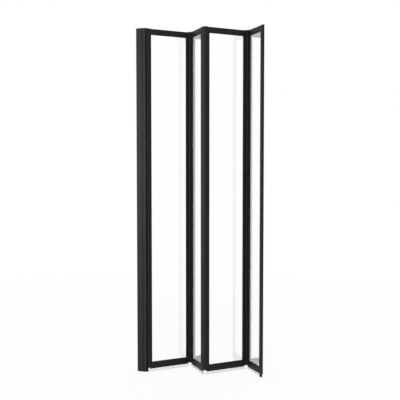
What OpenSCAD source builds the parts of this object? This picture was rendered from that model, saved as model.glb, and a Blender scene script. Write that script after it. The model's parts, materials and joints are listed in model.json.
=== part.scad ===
// Folding bath screen: a wall channel and four framed glass leaves, joined in a zigzag
// by hinge posts that each hold two pivots.
// Millimetres. The origin is on the wall, at the bath rim, in the middle of the channel.
// +X runs out along the rim, -Y faces the room and +Z is up.

/* [Overall] */
// Height of the wall channel above the bath rim
channel_height = 1400; // [1300:10:1600]
// How far the channel stands above the tops of the leaves
channel_rise = 2.5; // [2.5:0.1:6]
// Gap from the rim to the underside of the leaves
frame_lift = 12.5; // [12:0.5:20]
// Angle of each leaf from the straight run, as the screen stands
leaf_angle = 45; // [5:1:85]

/* [Leaves] */
// Glass width seen between the stiles of leaves 1 and 3
wide_opening = 153.5; // [100:0.5:300]
// Glass width seen between the stiles of leaves 2 and 4
narrow_opening = 87; // [70:0.5:100]
// Thickness of the stiles and rails, front to back
frame_depth = 9; // [8.6:0.1:10]
// Pivot axis to the glass edge of a stile
stile_reach = 12; // [11.5:0.1:20]
// Height of a top rail
top_rail_height = 23; // [20:0.5:40]
// Height of a bottom rail
bottom_rail_height = 27; // [24:0.5:45]
// Wall of the extruded sections
section_wall = 1.5; // [1.3:0.1:1.6]
// Radius on the long outer edges of the sections
edge_radius = 0.6; // [0.3:0.1:0.8]

/* [Glazing] */
// Depth of the groove that holds the glass
groove_depth = 7; // [5:0.1:7]
// Thickness of the glass
glass_thickness = 5; // [3:0.5:5]
// Free space between the glass edge and the bottom of its groove
glass_edge_gap = 1; // [0.5:0.1:2]
// How far the gasket shows beyond the frame
gasket_lip = 0.5; // [0.3:0.1:2]

/* [Corner keys] */
// Length of a corner key inside its rail
key_length = 30; // [24:1:34]
// Clearance between a key and the walls round it
key_clearance = 0.05; // [0.02:0.01:0.2]
// Distance of the stile screw from the glass edge of the stile
stile_screw_inset = 3.5; // [3:0.1:4]
// Distance of the rail screw from the end of the rail
rail_screw_inset = 14; // [8:0.5:20]
// Shank radius of the frame screws
frame_screw_radius = 1.3; // [1:0.05:1.5]
// Head radius of the frame screws
frame_screw_head = 2.5; // [2:0.1:2.8]
// Depth of the countersunk head
frame_screw_sink = 1.2; // [1:0.1:1.3]
// Length of the frame screws
frame_screw_length = 6; // [5:0.5:7]

/* [Fold hinges] */
// Distance between the two pivots of a fold hinge
pivot_spacing = 14.5; // [14.5:0.1:18]
// Radius of the hinge pins
pin_radius = 2; // [1.5:0.05:2.2]
// Running clearance of a pin in its bush
pin_clearance = 0.05; // [0.02:0.01:0.1]
// How far a pin reaches past its link plate
pin_length = 9; // [6:0.5:9.5]
// Radius of the bore that runs through a stile
stile_bore = 3; // [2.8:0.05:3.3]
// Clearance of a bush in the bore of its stile
bush_clearance = 0.05; // [0.02:0.01:0.1]
// Length of a bush inside the stile
bush_length = 10; // [10:0.5:20]
// Thickness of the bush flange
bush_flange = 0.4; // [0.3:0.1:0.4]
// Gap between a bush flange and its link plate
thrust_gap = 0.1; // [0.05:0.05:0.2]
// Gap between the hinge post and the stiles
post_gap = 0.4; // [0.35:0.05:0.6]
// Outer face of a hinge post, from the line of its pivots
post_depth = 6.4; // [6.2:0.1:9]
// Radius of the crowned outer face of a hinge post
post_crown = 40; // [25:1:120]
// Radius of the port in the end of a hinge post
post_port = 1.4; // [1.2:0.05:1.6]
// Distance of that port from the line of the pivots
post_port_offset = 2.6; // [2.4:0.1:2.8]
// Length of the link's spigot in the post's port
spigot_length = 12; // [6:1:30]
// Thickness of a top link plate
top_plate = 1; // [0.8:0.1:1.2]
// Thickness of a bottom link plate
bottom_plate = 1.2; // [1:0.1:2]
// Half width of a link plate
plate_radius = 4.4; // [4:0.1:4.4]
// Free height under the heads of the bottom pins, from the underside of the leaf
notch_free = 3.6; // [2:0.1:6]
// Height of a bottom pin's head
bottom_head = 1.2; // [0.8:0.1:2]
// Height of a top pin's domed head
top_head = 0.4; // [0.3:0.1:0.6]
// Radius of the pin heads
head_radius = 3.2; // [2.6:0.1:3.6]
// Space between a link plate's edge and the foot of the stile
notch_gap = 0.5; // [0.4:0.1:1]

/* [Wall channel] */
// Width of the channel, front to back
channel_width = 22; // [20:0.5:26]
// Depth of the channel, out from the wall
channel_depth = 25; // [22:0.5:28]
// Wall of the channel
channel_wall = 1.6; // [1.4:0.1:2]
// Radius on the channel's front edges
channel_edge = 0.5; // [0.3:0.1:0.7]
// Slip clearance of the jamb in the channel, each side
jamb_slip = 0.2; // [0.1:0.05:0.4]
// Back of the jamb, out from the wall
jamb_back = 8; // [6:0.5:10]
// Front face of the jamb, out from the wall
jamb_front = 40; // [36:0.5:46]
// Wall of the jamb
jamb_wall = 1.6; // [1.4:0.1:2]
// How far the nose stands out of the jamb
nose_reach = 2.7; // [2:0.1:5]
// Width of the jamb's nose
nose_width = 9; // [8:0.1:10]
// Gap between the nose and the stile of leaf 1
nose_gap = 0.5; // [0.45:0.05:1]
// Thickness of the cap over the channel and jamb
cap_thickness = 1; // [0.6:0.1:1]
// How far the cap's plug reaches down into the channel
cap_plug = 6; // [3:0.5:10]
// Radius of the wall screw holes
wall_hole = 2.5; // [2:0.1:3.5]
// Distance between the wall screw holes
wall_hole_spacing = 600; // [400:10:620]
// Distance between the adjusting screws
adjuster_spacing = 500; // [300:10:600]
// Shank radius of the adjusting screws
adjuster_radius = 1.9; // [1.5:0.1:2.2]
// Head radius of the adjusting screws
adjuster_head = 3.8; // [3.4:0.1:4.5]
// Head height of the adjusting screws
adjuster_head_height = 2; // [1.5:0.1:3]
// How far the channel's slots let the jamb travel each way
adjuster_travel = 5; // [2:0.5:6]
// Height of the pivot blocks in the ends of the jamb
block_height = 30; // [26:1:60]
// Length of the pivot blocks inside the jamb
block_length = 14; // [10:0.5:16]

/* [Seals and foot] */
// Height of a sweep seal below its leaf
seal_height = 12; // [8:0.5:12]
// Width of a sweep seal's base
seal_width = 8; // [7:0.1:8.4]
// Thickness of a sweep seal's base
seal_base = 1.6; // [1.2:0.1:2.5]
// Thickness of each blade where it leaves the base
seal_blade = 1.2; // [0.8:0.1:1.5]
// Thickness of each blade at its lower edge
seal_edge = 0.7; // [0.5:0.1:0.8]
// Half distance between the blades at their lower edges
seal_toe = 1.1; // [0.8:0.1:2]
// How far a sweep seal runs past the pivot of its leaf
seal_overrun = 2.5; // [0:0.1:2.6]
// Height of the slot that holds the sweep seal
seal_slot_height = 4; // [3.6:0.1:5]
// Depth of the lips of that slot
seal_slot_lip = 1.4; // [1.2:0.1:1.8]
// Width between the lips of that slot
seal_slot_mouth = 3; // [2.4:0.1:3.4]
// Clearance of the seal in its slot
seal_clearance = 0.15; // [0.1:0.05:0.3]
// Radius of the foot under the free stile
foot_radius = 6.3; // [5.6:0.1:8]
// Height of the foot
foot_height = 5.5; // [4:0.5:7]
// Radius of the rounded rim of the foot
foot_round = 1.2; // [0.5:0.1:1.8]
// Radius of the neck above the foot
neck_radius = 4.4; // [3.5:0.1:4.4]
// Depth of the neck's socket in the foot
neck_socket = 3; // [2:0.5:3.5]
// Thickness of the insert's plate under the free stile
insert_plate = 2; // [1.5:0.1:3]
// Height of the insert's spigots in the free stile
insert_spigot = 4; // [2:0.5:4]
// Thickness of the cap on the free stile
end_plug_head = 1; // [0.6:0.1:2]
// Length of that cap's stem in the stile's bore
end_plug_stem = 7; // [4:0.5:12]

/* [Hidden] */
$fn = 48;
black = [0.10, 0.10, 0.105];
clear_glass = [0.86, 0.93, 0.94, 0.35];
clear_seal = [0.80, 0.86, 0.90, 0.6];
nylon = [0.06, 0.06, 0.06];
rubber = [0.04, 0.04, 0.04];
steel = [0.66, 0.66, 0.67];
alloy = [0.72, 0.73, 0.74];
// A cut runs this far past the face that it opens
past = 1;
// Levels
frame_bottom = frame_lift;
frame_top = channel_height - channel_rise;
frame_height = frame_top - frame_bottom;
top_plate_level = frame_top + bush_flange + thrust_gap;
bottom_plate_level = frame_bottom + notch_free + bottom_head;
barrel_bottom = bottom_plate_level + bottom_plate + thrust_gap + bush_flange;
glass_low = frame_bottom + bottom_rail_height;
glass_high = frame_top - top_rail_height;
// Sections
half_depth = frame_depth / 2;
groove_width = frame_depth - 2 * section_wall;
foot_of_notch = plate_radius + notch_gap;
top_chamber = top_rail_height - 2 * section_wall - groove_depth;
bottom_chamber = bottom_rail_height - seal_slot_height - 2 * section_wall - groove_depth;
top_chamber_floor = frame_top - section_wall - top_chamber;
bottom_chamber_floor = frame_bottom + seal_slot_height + section_wall;
key_thickness = groove_width - 2 * key_clearance;
bush_radius = stile_bore - bush_clearance;
// Leaves: opening, pitch between pivots, angle and place of the left pivot
wall_pivot_x = jamb_front + nose_reach + nose_gap + half_depth;
opening = [wide_opening, narrow_opening, wide_opening, narrow_opening];
pitch = [for (w = opening) w + 2 * stile_reach];
heading = [leaf_angle, -leaf_angle, leaf_angle, -leaf_angle];
function leaf_end(i) = leaf_start(i) + pitch[i] * [cos(heading[i]), sin(heading[i])];
function leaf_start(i) = i == 0 ? [wall_pivot_x, 0] : leaf_end(i - 1) + [pivot_spacing, 0];
// Jamb
jamb_width = channel_width - 2 * (channel_wall + jamb_slip);
jamb_inside = jamb_width - 2 * jamb_wall;
jamb_top = channel_height - cap_thickness;
block_back = jamb_front - jamb_wall - block_length;
block_screw_x = jamb_front - jamb_wall - block_length / 2;
foot_offset = (stile_reach - half_depth) / 2;

// ---- Shared shapes ----

// A rectangle with round corners, from [x0, y0] with the given size
module soft_rect(low, size, r) {
    translate(low + [r, 0])
        square([size[0] - 2 * r, size[1]]);
    translate(low + [0, r])
        square([size[0], size[1] - 2 * r]);
    for (x = [r, size[0] - r], y = [r, size[1] - r])
        translate(low + [x, y])
            circle(r = r);
}

// Extrudes a section drawn across Y and Z along X, from x0 over a length
module along_x(x0, length) {
    translate([x0, 0, 0])
        rotate([90, 0, 90])
            linear_extrude(length)
                children();
}

// A rod along Z between two levels
module rod(r, low, high) {
    translate([0, 0, low])
        cylinder(r = r, h = high - low);
}

// Puts a leaf's piece, drawn along +X from the left pivot, in its place
module place_leaf(i) {
    at = leaf_start(i - 1);
    translate([at[0], at[1], 0])
        rotate([0, 0, heading[i - 1]])
            children();
}

// Turns a left-hand piece into the right-hand one of the same leaf
module to_right(i) {
    translate([pitch[i - 1], 0, 0])
        mirror([1, 0, 0])
            children();
}

// Puts a hinge's piece, drawn between its pivots, after leaf i; its outer face turns
// to the room on the middle fold and away from it on the others
module place_hinge(i) {
    at = leaf_end(i - 1) + [pivot_spacing / 2, 0];
    translate([at[0], at[1], 0])
        rotate([0, 0, i == 2 ? 180 : 0])
            children();
}

// ---- Leaf frame ----

// Outline of a stile: round on its pivot edge, or square where it has no hinge
module stile_outline(hinged) {
    back = hinged ? edge_radius : half_depth;
    if (hinged)
        circle(r = half_depth);
    soft_rect([-back, -half_depth], [stile_reach + back, frame_depth], edge_radius);
}

// Stile section: its outline with a through bore and a glass groove
module stile_section(hinged) {
    difference() {
        stile_outline(hinged);
        circle(r = stile_bore);
        translate([stile_reach - groove_depth, -groove_width / 2])
            square([groove_depth + past, groove_width]);
    }
}

// Screw from the back face inward, head flush with the face
module frame_screw() {
    rotate([90, 0, 0]) {
        cylinder(r1 = frame_screw_head, r2 = frame_screw_radius, h = frame_screw_sink);
        cylinder(r = frame_screw_radius, h = frame_screw_length);
    }
}

// The hole for that screw in the wall of a section; its cone runs on past the face
module frame_screw_hole() {
    shank = frame_screw_radius + key_clearance;
    slope = (frame_screw_head - frame_screw_radius) / frame_screw_sink;
    rotate([90, 0, 0]) {
        translate([0, 0, -past])
            cylinder(r1 = frame_screw_head + key_clearance + slope * past, r2 = shank,
                     h = frame_screw_sink + past);
        cylinder(r = shank, h = frame_screw_length + past);
    }
}

// Screw places on one side of a leaf: each is [x, z]
function key_levels() = [bottom_chamber_floor + bottom_chamber / 2, top_chamber_floor + top_chamber / 2];
stile_screw_x = stile_reach - stile_screw_inset;
rail_screw_x = stile_reach + rail_screw_inset;

module left_stile(hinged) {
    difference() {
        translate([0, 0, frame_bottom])
            linear_extrude(frame_height)
                stile_section(hinged);
        if (hinged)
            translate([-half_depth - past, -half_depth - past, frame_bottom - past])
                cube([half_depth + past + foot_of_notch, frame_depth + 2 * past,
                      barrel_bottom - frame_bottom + past]);
        for (z = key_levels())
            translate([stile_screw_x, half_depth, z])
                frame_screw_hole();
    }
}

module top_rail_section() {
    difference() {
        soft_rect([-half_depth, glass_high], [frame_depth, top_rail_height], edge_radius);
        translate([-groove_width / 2, glass_high - past])
            square([groove_width, groove_depth + past]);
        translate([-groove_width / 2, top_chamber_floor])
            square([groove_width, top_chamber]);
    }
}

module bottom_rail_section() {
    difference() {
        soft_rect([-half_depth, frame_bottom], [frame_depth, bottom_rail_height], edge_radius);
        translate([-groove_width / 2, glass_low - groove_depth])
            square([groove_width, groove_depth + past]);
        translate([-groove_width / 2, bottom_chamber_floor])
            square([groove_width, bottom_chamber]);
        translate([-seal_slot_mouth / 2, frame_bottom - past])
            square([seal_slot_mouth, seal_slot_height + past]);
        translate([-groove_width / 2, frame_bottom + seal_slot_lip])
            square([groove_width, seal_slot_height - seal_slot_lip]);
    }
}

module rail(i, level) {
    difference() {
        along_x(stile_reach, opening[i - 1])
            children();
        for (x = [rail_screw_x, pitch[i - 1] - rail_screw_x])
            translate([x, half_depth, key_levels()[level]])
                frame_screw_hole();
    }
}

// Left-hand key of one level: a bar in the rail with a tongue in the stile's groove
module corner_key(level) {
    low = level == 0 ? bottom_chamber_floor : top_chamber_floor;
    height = level == 0 ? bottom_chamber : top_chamber;
    difference() {
        translate([stile_reach - groove_depth + key_clearance, -key_thickness / 2, low + key_clearance])
            cube([groove_depth + key_length, key_thickness, height - 2 * key_clearance]);
        for (x = [stile_screw_x, rail_screw_x])
            translate([x, half_depth, key_levels()[level]])
                rotate([90, 0, 0])
                    cylinder(r = frame_screw_radius + key_clearance, h = frame_depth + past);
    }
}

module corner_keys(i) {
    for (level = [0, 1]) {
        corner_key(level);
        to_right(i)
            corner_key(level);
    }
}

module frame_screws(i) {
    for (x = [stile_screw_x, rail_screw_x], z = key_levels()) {
        translate([x, half_depth, z])
            frame_screw();
        translate([pitch[i - 1] - x, half_depth, z])
            frame_screw();
    }
}

// ---- Glazing ----

module glass(i) {
    bite = groove_depth - glass_edge_gap;
    translate([stile_reach - bite, -glass_thickness / 2, glass_low - bite])
        cube([opening[i - 1] + 2 * bite, glass_thickness, glass_high - glass_low + 2 * bite]);
}

module gasket(i) {
    bite = groove_depth - key_clearance;
    difference() {
        translate([stile_reach - bite, -groove_width / 2, glass_low - bite])
            cube([opening[i - 1] + 2 * bite, groove_width, glass_high - glass_low + 2 * bite]);
        translate([stile_reach + gasket_lip, -groove_width, glass_low + gasket_lip])
            cube([opening[i - 1] - 2 * gasket_lip, 2 * groove_width,
                  glass_high - glass_low - 2 * gasket_lip]);
        glass(i);
    }
}

// ---- Sweep seal ----

// Two blades that lean together under a flat base
module seal_blades() {
    low = frame_bottom - seal_height;
    base_low = frame_bottom - seal_base;
    translate([-seal_width / 2, base_low])
        square([seal_width, seal_base]);
    for (side = [-1, 1])
        polygon([
            [side * seal_width / 2, base_low],
            [side * (seal_toe + seal_edge), low],
            [side * seal_toe, low],
            [side * (seal_width / 2 - seal_blade), base_low]]);
}

// The T-shaped root that slides into the slot of the bottom rail
module seal_root() {
    neck = seal_slot_mouth - 2 * seal_clearance;
    head_low = frame_bottom + seal_slot_lip + seal_clearance;
    head_high = frame_bottom + seal_slot_height - seal_clearance;
    translate([-neck / 2, frame_bottom - seal_base / 2])
        square([neck, head_high - frame_bottom + seal_base / 2]);
    translate([-groove_width / 2 + seal_clearance, head_low])
        square([groove_width - 2 * seal_clearance, head_high - head_low]);
}

module sweep_seal(i) {
    seal_end = i == 4 ? pitch[3] - stile_reach : pitch[i - 1] + seal_overrun;
    along_x(-seal_overrun, seal_end + seal_overrun)
        seal_blades();
    along_x(stile_reach, opening[i - 1])
        seal_root();
}

// ---- Pivots ----

// A plate over the top end of a stile, with a spigot in the mouth of its groove
module stile_cap(thickness, hinged) {
    spigot = section_wall - 2 * key_clearance;
    translate([0, 0, frame_top])
        linear_extrude(thickness)
            stile_outline(hinged);
    translate([stile_reach - groove_depth + key_clearance, -key_thickness / 2, frame_top - spigot])
        cube([groove_depth - 2 * key_clearance, key_thickness, spigot + thickness / 2]);
}

// The top bush of a hinged stile is one piece with the cap over its end
module top_bush() {
    difference() {
        union() {
            rod(bush_radius, frame_top - bush_length, frame_top + bush_flange / 2);
            stile_cap(bush_flange, true);
        }
        rod(pin_radius + pin_clearance, frame_top - bush_length - past, frame_top + bush_flange + past);
    }
}

module bottom_bush() {
    difference() {
        union() {
            rod(bush_radius, barrel_bottom - bush_flange / 2, barrel_bottom + bush_length);
            rod(half_depth - edge_radius / 2, barrel_bottom - bush_flange, barrel_bottom);
        }
        rod(pin_radius + pin_clearance, barrel_bottom - bush_flange - past,
            barrel_bottom + bush_length + past);
    }
}

module stile_bushes() {
    top_bush();
    bottom_bush();
}

module bushes(i) {
    stile_bushes();
    if (i < 4)
        to_right(i)
            stile_bushes();
}

// The pin and its domed head on a top plate
module top_pin() {
    rod(pin_radius, top_plate_level - pin_length, top_plate_level + top_plate + top_head / 2);
    translate([0, 0, top_plate_level + top_plate])
        cylinder(r1 = head_radius, r2 = head_radius - top_head, h = top_head);
}

// The pin and its flat head on a bottom plate
module bottom_pin() {
    rod(pin_radius, bottom_plate_level - bottom_head / 2, bottom_plate_level + bottom_plate + pin_length);
    rod(head_radius, bottom_plate_level - bottom_head, bottom_plate_level + bottom_plate / 2);
}

// ---- Fold hinge ----

module hinge_post_section() {
    pivot = pivot_spacing / 2;
    bar = pivot - half_depth - post_gap;
    difference() {
        intersection() {
            union() {
                translate([-bar, -half_depth])
                    square([2 * bar, half_depth + post_depth]);
                translate([-pivot, -edge_radius])
                    square([2 * pivot, edge_radius + post_depth]);
            }
            translate([0, post_depth - post_crown])
                circle(r = post_crown, $fn = 96);
        }
        for (x = [-pivot, pivot])
            translate([x, 0])
                circle(r = half_depth + post_gap);
        translate([0, post_port_offset])
            circle(r = post_port);
    }
}

post_low = bottom_plate_level + bottom_plate;

module hinge_post() {
    translate([0, 0, post_low])
        linear_extrude(top_plate_level - post_low)
            hinge_post_section();
}

module link_plate(level, thickness) {
    pivot = pivot_spacing / 2;
    translate([0, 0, level])
        linear_extrude(thickness) {
            translate([-pivot, -plate_radius])
                square([2 * pivot, 2 * plate_radius]);
            for (x = [-pivot, pivot])
                translate([x, 0])
                    circle(r = plate_radius);
        }
}

module top_link() {
    link_plate(top_plate_level, top_plate);
    for (x = [-pivot_spacing / 2, pivot_spacing / 2])
        translate([x, 0, 0])
            top_pin();
    translate([0, post_port_offset, 0])
        rod(post_port - key_clearance, top_plate_level - spigot_length, top_plate_level + top_plate / 2);
}

module bottom_link() {
    link_plate(bottom_plate_level, bottom_plate);
    for (x = [-pivot_spacing / 2, pivot_spacing / 2])
        translate([x, 0, 0])
            bottom_pin();
    translate([0, post_port_offset, 0])
        rod(post_port - key_clearance, post_low - bottom_plate / 2, post_low + spigot_length);
}

// ---- Wall channel and jamb ----

function wall_hole_levels() = [for (k = [-1 : 1]) channel_height / 2 + k * wall_hole_spacing];
function adjuster_levels() = [for (k = [-1 : 1]) channel_height / 2 + k * adjuster_spacing];
adjuster_x = (jamb_back + channel_depth) / 2;

module wall_channel() {
    difference() {
        linear_extrude(jamb_top)
            difference() {
                union() {
                    translate([0, -channel_width / 2])
                        square([channel_depth / 2, channel_width]);
                    soft_rect([0, -channel_width / 2], [channel_depth, channel_width], channel_edge);
                }
                translate([channel_wall, -channel_width / 2 + channel_wall])
                    square([channel_depth, channel_width - 2 * channel_wall]);
            }
        for (z = wall_hole_levels())
            translate([-past, 0, z])
                rotate([0, 90, 0])
                    cylinder(r = wall_hole, h = channel_wall + 2 * past);
        for (z = adjuster_levels())
            translate([adjuster_x, 0, z])
                adjuster_slot();
    }
}

// A slot along X through the channel's inner side wall
module adjuster_slot() {
    r = adjuster_radius + jamb_slip;
    for (x = [-adjuster_travel, adjuster_travel])
        translate([x, channel_width / 2 + past, 0])
            rotate([90, 0, 0])
                cylinder(r = r, h = channel_wall + past + jamb_slip / 2);
    translate([-adjuster_travel, channel_width / 2 - channel_wall - jamb_slip / 2, -r])
        cube([2 * adjuster_travel, channel_wall + past + jamb_slip / 2, 2 * r]);
}

module adjusting_screws() {
    tip = jamb_width / 2 - 2 * jamb_wall;
    for (z = adjuster_levels())
        translate([adjuster_x, 0, z])
            rotate([-90, 0, 0]) {
                rod(adjuster_radius, tip, channel_width / 2 + adjuster_head_height / 2);
                translate([0, 0, channel_width / 2])
                    cylinder(r1 = adjuster_head, r2 = adjuster_head - adjuster_head_height / 2,
                             h = adjuster_head_height);
            }
}

module jamb_outline() {
    soft_rect([jamb_back, -jamb_width / 2], [jamb_front - jamb_back, jamb_width], edge_radius);
    translate([jamb_front - jamb_wall / 2, -nose_width / 2])
        square([nose_reach + jamb_wall / 2, nose_width]);
}

module jamb() {
    tongue_room = 2 * plate_radius + jamb_slip;
    mouth = jamb_front - jamb_wall - past;
    difference() {
        linear_extrude(jamb_top)
            difference() {
                jamb_outline();
                translate([jamb_back + jamb_wall, -jamb_inside / 2])
                    square([jamb_front - jamb_back - 2 * jamb_wall, jamb_inside]);
            }
        // Mouths for the tongues of the pivot blocks
        translate([mouth, -tongue_room / 2, top_plate_level])
            cube([nose_reach + jamb_wall + 2 * past, tongue_room, jamb_top - top_plate_level + past]);
        translate([mouth, -tongue_room / 2, -past])
            cube([nose_reach + jamb_wall + 2 * past, tongue_room,
                  bottom_plate_level + bottom_plate + past]);
        for (z = adjuster_levels())
            translate([adjuster_x, 0, z])
                rotate([-90, 0, 0])
                    rod(adjuster_radius + key_clearance, 0, jamb_width / 2 + past);
        for (z = pivot_screw_levels())
            translate([block_screw_x, jamb_width / 2, z])
                frame_screw_hole();
    }
}

function pivot_screw_levels() = [block_height / 2, jamb_top - block_height / 2];

// The part of a pivot block inside the jamb, with its screw bore
module pivot_block(low) {
    difference() {
        translate([block_back, -jamb_inside / 2 + key_clearance, low])
            cube([block_length - key_clearance, jamb_inside - 2 * key_clearance, block_height]);
        translate([block_screw_x, jamb_width / 2, low + block_height / 2])
            rotate([90, 0, 0])
                cylinder(r = frame_screw_radius + key_clearance, h = frame_screw_length + 2 * past);
    }
}

// A tongue from the block out to the wall pivot
module pivot_tongue(level, thickness) {
    back = jamb_front - jamb_wall - block_length / 2;
    translate([0, 0, level])
        linear_extrude(thickness) {
            translate([back, -plate_radius])
                square([wall_pivot_x - back, 2 * plate_radius]);
            translate([wall_pivot_x, 0])
                circle(r = plate_radius);
        }
}

module pivot_block_top() {
    pivot_block(jamb_top - block_height);
    pivot_tongue(top_plate_level, top_plate);
    translate([wall_pivot_x, 0, 0])
        top_pin();
}

module pivot_block_bottom() {
    pivot_block(0);
    pivot_tongue(bottom_plate_level, bottom_plate);
    // The foot of the tongue fills the mouth below it
    translate([jamb_front - jamb_wall - past, -plate_radius, 0])
        cube([nose_reach + jamb_wall + past, 2 * plate_radius, bottom_plate_level + bottom_plate]);
    translate([wall_pivot_x, 0, 0])
        bottom_pin();
}

module pivot_screws() {
    for (z = pivot_screw_levels())
        translate([block_screw_x, jamb_width / 2, z])
            frame_screw();
}

module channel_cap() {
    plug_width = channel_width - 2 * channel_wall - 2 * jamb_slip;
    plug_room = jamb_back - channel_wall - 2 * jamb_slip;
    translate([0, 0, jamb_top])
        linear_extrude(cap_thickness) {
            soft_rect([0, -channel_width / 2], [channel_depth, channel_width], channel_edge);
            jamb_outline();
        }
    translate([channel_wall + jamb_slip, -plug_width / 2, jamb_top - cap_plug])
        cube([plug_room, plug_width, cap_plug + cap_thickness / 2]);
}

// ---- Free end ----

// Middle of the free stile's section, in leaf 4's own frame
free_stile_x = pitch[3] - foot_offset;

module end_plug() {
    to_right(4) {
        rod(bush_radius, frame_top - end_plug_stem, frame_top + end_plug_head / 2);
        stile_cap(end_plug_head, false);
    }
}

module foot_insert() {
    plate_low = frame_bottom - insert_plate;
    bite = groove_depth - key_clearance;
    plate_inset = edge_radius / 2;
    translate([0, 0, plate_low])
        linear_extrude(insert_plate)
            translate([pitch[3] - stile_reach + plate_inset, -half_depth + plate_inset])
                square([stile_reach + half_depth - 2 * plate_inset, frame_depth - 2 * plate_inset]);
    translate([pitch[3], 0, 0])
        rod(bush_radius, frame_bottom - insert_plate / 2, frame_bottom + insert_spigot);
    translate([pitch[3] - stile_reach + key_clearance, -key_thickness / 2,
               frame_bottom - insert_plate / 2])
        cube([bite - key_clearance, key_thickness, insert_spigot + insert_plate / 2]);
    translate([free_stile_x, 0, 0])
        rod(neck_radius, foot_height - neck_socket, frame_bottom - insert_plate / 2);
}

// The foot: a rubber disc with a rounded rim, pushed over the neck
module foot() {
    translate([free_stile_x, 0, 0])
        difference() {
            rotate_extrude()
                intersection() {
                    soft_rect([-foot_radius, 0], [2 * foot_radius, foot_height], foot_round);
                    square([foot_radius, foot_height]);
                }
            rod(neck_radius + key_clearance, foot_height - neck_socket, foot_height + past);
        }
}

// ---- Nodes ----

module leaf_piece(i, piece) {
    place_leaf(i) {
        if (piece == "left_stile") color(black) left_stile(true);
        if (piece == "right_stile") color(black) to_right(i) left_stile(i < 4);
        if (piece == "top_rail") color(black) rail(i, 1) top_rail_section();
        if (piece == "bottom_rail") color(black) rail(i, 0) bottom_rail_section();
        if (piece == "glass") color(clear_glass) glass(i);
        if (piece == "gasket") color(rubber) gasket(i);
        if (piece == "sweep_seal") color(clear_seal) sweep_seal(i);
        if (piece == "corner_keys") color(alloy) corner_keys(i);
        if (piece == "frame_screws") color(steel) frame_screws(i);
        if (piece == "bushes") color(nylon) bushes(i);
    }
}

module hinge_piece(i, piece) {
    place_hinge(i) {
        if (piece == "post") color(black) hinge_post();
        if (piece == "top_link") color(black) top_link();
        if (piece == "bottom_link") color(black) bottom_link();
    }
}

color(black) wall_channel();
color(nylon) channel_cap();
color(black) jamb();
color(steel) adjusting_screws();
color(black) pivot_block_top();
color(black) pivot_block_bottom();
color(steel) pivot_screws();

leaf_piece(1, "left_stile");  // leaf_1_left_stile
leaf_piece(1, "right_stile");  // leaf_1_right_stile
leaf_piece(1, "top_rail");  // leaf_1_top_rail
leaf_piece(1, "bottom_rail");  // leaf_1_bottom_rail
leaf_piece(1, "glass");  // leaf_1_glass
leaf_piece(1, "gasket");  // leaf_1_gasket
leaf_piece(1, "sweep_seal");  // leaf_1_sweep_seal
leaf_piece(1, "corner_keys");  // leaf_1_corner_keys
leaf_piece(1, "frame_screws");  // leaf_1_frame_screws
leaf_piece(1, "bushes");  // leaf_1_bushes

leaf_piece(2, "left_stile");  // leaf_2_left_stile
leaf_piece(2, "right_stile");  // leaf_2_right_stile
leaf_piece(2, "top_rail");  // leaf_2_top_rail
leaf_piece(2, "bottom_rail");  // leaf_2_bottom_rail
leaf_piece(2, "glass");  // leaf_2_glass
leaf_piece(2, "gasket");  // leaf_2_gasket
leaf_piece(2, "sweep_seal");  // leaf_2_sweep_seal
leaf_piece(2, "corner_keys");  // leaf_2_corner_keys
leaf_piece(2, "frame_screws");  // leaf_2_frame_screws
leaf_piece(2, "bushes");  // leaf_2_bushes

leaf_piece(3, "left_stile");  // leaf_3_left_stile
leaf_piece(3, "right_stile");  // leaf_3_right_stile
leaf_piece(3, "top_rail");  // leaf_3_top_rail
leaf_piece(3, "bottom_rail");  // leaf_3_bottom_rail
leaf_piece(3, "glass");  // leaf_3_glass
leaf_piece(3, "gasket");  // leaf_3_gasket
leaf_piece(3, "sweep_seal");  // leaf_3_sweep_seal
leaf_piece(3, "corner_keys");  // leaf_3_corner_keys
leaf_piece(3, "frame_screws");  // leaf_3_frame_screws
leaf_piece(3, "bushes");  // leaf_3_bushes

leaf_piece(4, "left_stile");  // leaf_4_left_stile
leaf_piece(4, "right_stile");  // leaf_4_right_stile
leaf_piece(4, "top_rail");  // leaf_4_top_rail
leaf_piece(4, "bottom_rail");  // leaf_4_bottom_rail
leaf_piece(4, "glass");  // leaf_4_glass
leaf_piece(4, "gasket");  // leaf_4_gasket
leaf_piece(4, "sweep_seal");  // leaf_4_sweep_seal
leaf_piece(4, "corner_keys");  // leaf_4_corner_keys
leaf_piece(4, "frame_screws");  // leaf_4_frame_screws
leaf_piece(4, "bushes");  // leaf_4_bushes

hinge_piece(1, "post");  // hinge_12_post
hinge_piece(1, "top_link");  // hinge_12_top_link
hinge_piece(1, "bottom_link");  // hinge_12_bottom_link
hinge_piece(2, "post");  // hinge_23_post
hinge_piece(2, "top_link");  // hinge_23_top_link
hinge_piece(2, "bottom_link");  // hinge_23_bottom_link
hinge_piece(3, "post");  // hinge_34_post
hinge_piece(3, "top_link");  // hinge_34_top_link
hinge_piece(3, "bottom_link");  // hinge_34_bottom_link

color(nylon) place_leaf(4) end_plug();
color(nylon) place_leaf(4) foot_insert();
color(rubber) place_leaf(4) foot();
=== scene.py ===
"""Dresses the folding bath screen: coats, glass, seals, screws, foot, studio and camera."""

import json
from math import atan2, cos, pi, radians, sin, tan

import bmesh
import bpy
from mathutils import Matrix, Vector


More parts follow.
